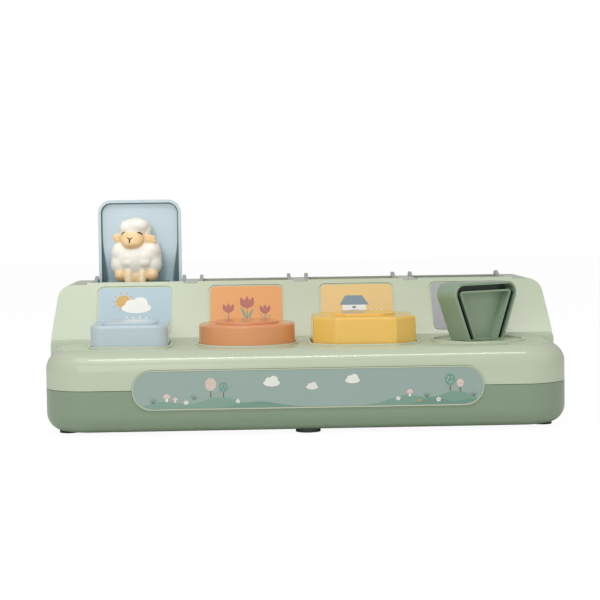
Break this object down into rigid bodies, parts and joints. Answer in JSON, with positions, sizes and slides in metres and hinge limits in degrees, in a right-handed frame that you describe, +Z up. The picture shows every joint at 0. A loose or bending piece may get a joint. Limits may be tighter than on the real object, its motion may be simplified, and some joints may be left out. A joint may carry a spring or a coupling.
{
  "type": "pop up animal toy",
  "caption": "Pop up toy: a two-tone case with a row of lidded wells, an animal on the inside of each lid, and a different hand control in front of each.",
  "frame": {"origin": "on the table under the centre of the bounding box", "axes": "+X along the row of controls, to the user's right; +Y from the front face to the back; +Z up"},
  "size_m": [0.3196, 0.1708, 0.1409],
  "materials": {
    "upper_case": "moulded glossy ABS",
    "lower_case": "moulded glossy ABS",
    "front_plate": "moulded glossy ABS",
    "front_card": null,
    "rubber_feet": "moulded rubber pad",
    "case_screws": "zinc plated steel",
    "mechanism_plate": "moulded glossy ABS",
    "plate_screws": "zinc plated steel",
    "hinge_pins": "zinc plated steel",
    "rocker_pin": "zinc plated steel",
    "panel_card_1": null,
    "panel_card_2": null,
    "panel_card_3": null,
    "panel_card_4": null,
    "figure_well_1": "moulded glossy ABS",
    "figure_well_2": "moulded glossy ABS",
    "figure_well_3": "moulded glossy ABS",
    "figure_well_4": "moulded glossy ABS",
    "lid_spring_1": "zinc plated steel",
    "lid_spring_2": "zinc plated steel",
    "lid_spring_3": "zinc plated steel",
    "lid_spring_4": "zinc plated steel",
    "latch_spring_1": "zinc plated steel",
    "latch_spring_2": "zinc plated steel",
    "latch_spring_3": "zinc plated steel",
    "latch_spring_4": "zinc plated steel",
    "square_button_spring": "zinc plated steel",
    "octagon_key_spring": "zinc plated steel",
    "lid_1": "moulded glossy ABS",
    "sheep_figure": "painted soft vinyl",
    "lid_2": "moulded glossy ABS",
    "pig_figure": "painted soft vinyl",
    "lid_3": "moulded glossy ABS",
    "cow_figure": "painted soft vinyl",
    "lid_4": "moulded glossy ABS",
    "chick_figure": "painted soft vinyl",
    "square_button": "moulded glossy ABS",
    "round_dial": "moulded glossy ABS",
    "dial_cam": "moulded glossy ABS",
    "dial_screw": "zinc plated steel",
    "octagon_key": "moulded glossy ABS",
    "turn_key": "moulded glossy ABS",
    "turn_key_cam": "moulded glossy ABS",
    "turn_key_screw": "zinc plated steel",
    "latch_slider_1": "moulded glossy ABS",
    "latch_slider_2": "moulded glossy ABS",
    "latch_slider_3": "moulded glossy ABS",
    "latch_slider_4": "moulded glossy ABS"
  },
  "bodies": {
    "case": {"upper_case": "upper_case", "lower_case": "lower_case", "front_plate": "front_plate", "front_card": "front_card", "rubber_feet": "rubber_feet", "case_screws": "case_screws", "mechanism_plate": "mechanism_plate", "plate_screws": "plate_screws", "hinge_pins": "hinge_pins", "rocker_pin": "rocker_pin", "panel_card_1": "panel_card_1", "panel_card_2": "panel_card_2", "panel_card_3": "panel_card_3", "panel_card_4": "panel_card_4", "figure_well_1": "figure_well_1", "figure_well_2": "figure_well_2", "figure_well_3": "figure_well_3", "figure_well_4": "figure_well_4", "lid_spring_1": "lid_spring_1", "lid_spring_2": "lid_spring_2", "lid_spring_3": "lid_spring_3", "lid_spring_4": "lid_spring_4", "latch_spring_1": "latch_spring_1", "latch_spring_2": "latch_spring_2", "latch_spring_3": "latch_spring_3", "latch_spring_4": "latch_spring_4", "square_button_spring": "square_button_spring", "octagon_key_spring": "octagon_key_spring"},
    "lid_1": {"lid_1": "lid_1", "sheep_figure": "sheep_figure"},
    "lid_2": {"lid_2": "lid_2", "pig_figure": "pig_figure"},
    "lid_3": {"lid_3": "lid_3", "cow_figure": "cow_figure"},
    "lid_4": {"lid_4": "lid_4", "chick_figure": "chick_figure"},
    "square_button": {"square_button": "square_button"},
    "round_dial": {"round_dial": "round_dial", "dial_cam": "dial_cam", "dial_screw": "dial_screw"},
    "octagon_key": {"octagon_key": "octagon_key"},
    "turn_key": {"turn_key": "turn_key", "turn_key_cam": "turn_key_cam", "turn_key_screw": "turn_key_screw"},
    "latch_slider_1": {"latch_slider_1": "latch_slider_1"},
    "latch_slider_2": {"latch_slider_2": "latch_slider_2"},
    "latch_slider_3": {"latch_slider_3": "latch_slider_3"},
    "latch_slider_4": {"latch_slider_4": "latch_slider_4"}
  },
  "joints": [
    {"name": "lid_1_hinge", "type": "hinge", "parent": "case", "child": "lid_1", "pos_m": [-0.10725, 0.0764, 0.0831], "axis": [1, 0, 0], "range_deg": [0, 90], "stiffness_Nm_per_rad": 0.02, "springref_deg": -34.38, "deforming": ["lid_spring_1"]},
    {"name": "lid_2_hinge", "type": "hinge", "parent": "case", "child": "lid_2", "pos_m": [-0.03575, 0.0764, 0.0831], "axis": [1, 0, 0], "range_deg": [-90, 0], "deforming": ["lid_spring_2"]},
    {"name": "lid_3_hinge", "type": "hinge", "parent": "case", "child": "lid_3", "pos_m": [0.03575, 0.0764, 0.0831], "axis": [1, 0, 0], "range_deg": [-90, 0], "deforming": ["lid_spring_3"]},
    {"name": "lid_4_hinge", "type": "hinge", "parent": "case", "child": "lid_4", "pos_m": [0.10725, 0.0764, 0.0831], "axis": [1, 0, 0], "range_deg": [-90, 0], "deforming": ["lid_spring_4"]},
    {"name": "square_button_press", "type": "slide", "parent": "case", "child": "square_button", "axis": [0, 0, -1], "range_m": [0, 0.005], "stiffness_N_per_m": 150, "springref_m": -0.004, "deforming": ["square_button_spring"]},
    {"name": "round_dial_turn", "type": "hinge", "parent": "case", "child": "round_dial", "pos_m": [-0.03575, -0.0386, 0.0336], "axis": [0, 0, 1], "range_deg": [-90, 0]},
    {"name": "octagon_key_rock", "type": "hinge", "parent": "case", "child": "octagon_key", "pos_m": [0.03575, -0.0146, 0.0416], "axis": [1, 0, 0], "range_deg": [0, 5], "stiffness_Nm_per_rad": 0.1, "springref_deg": -17.19, "deforming": ["octagon_key_spring"]},
    {"name": "turn_key_turn", "type": "hinge", "parent": "case", "child": "turn_key", "pos_m": [0.10725, -0.0386, 0.0336], "axis": [0, 0, 1], "range_deg": [-90, 0]},
    {"name": "latch_slider_1_slide", "type": "slide", "parent": "case", "child": "latch_slider_1", "axis": [1, 0, 0], "range_m": [0, 0.003], "deforming": ["latch_spring_1"]},
    {"name": "latch_slider_2_slide", "type": "slide", "parent": "case", "child": "latch_slider_2", "axis": [1, 0, 0], "range_m": [0, 0.003], "deforming": ["latch_spring_2"]},
    {"name": "latch_slider_3_slide", "type": "slide", "parent": "case", "child": "latch_slider_3", "axis": [1, 0, 0], "range_m": [0, 0.003], "deforming": ["latch_spring_3"]},
    {"name": "latch_slider_4_slide", "type": "slide", "parent": "case", "child": "latch_slider_4", "axis": [1, 0, 0], "range_m": [0, 0.003], "deforming": ["latch_spring_4"]}
  ],
  "couplings": [
    {"joint": "latch_slider_1_slide", "follows": "square_button_press", "ratio": 0.6},
    {"joint": "latch_slider_2_slide", "follows": "round_dial_turn", "m_per_rad": -0.001909},
    {"joint": "latch_slider_3_slide", "follows": "octagon_key_rock", "m_per_rad": 0.03437},
    {"joint": "latch_slider_4_slide", "follows": "turn_key_turn", "m_per_rad": -0.001909}
  ]
}
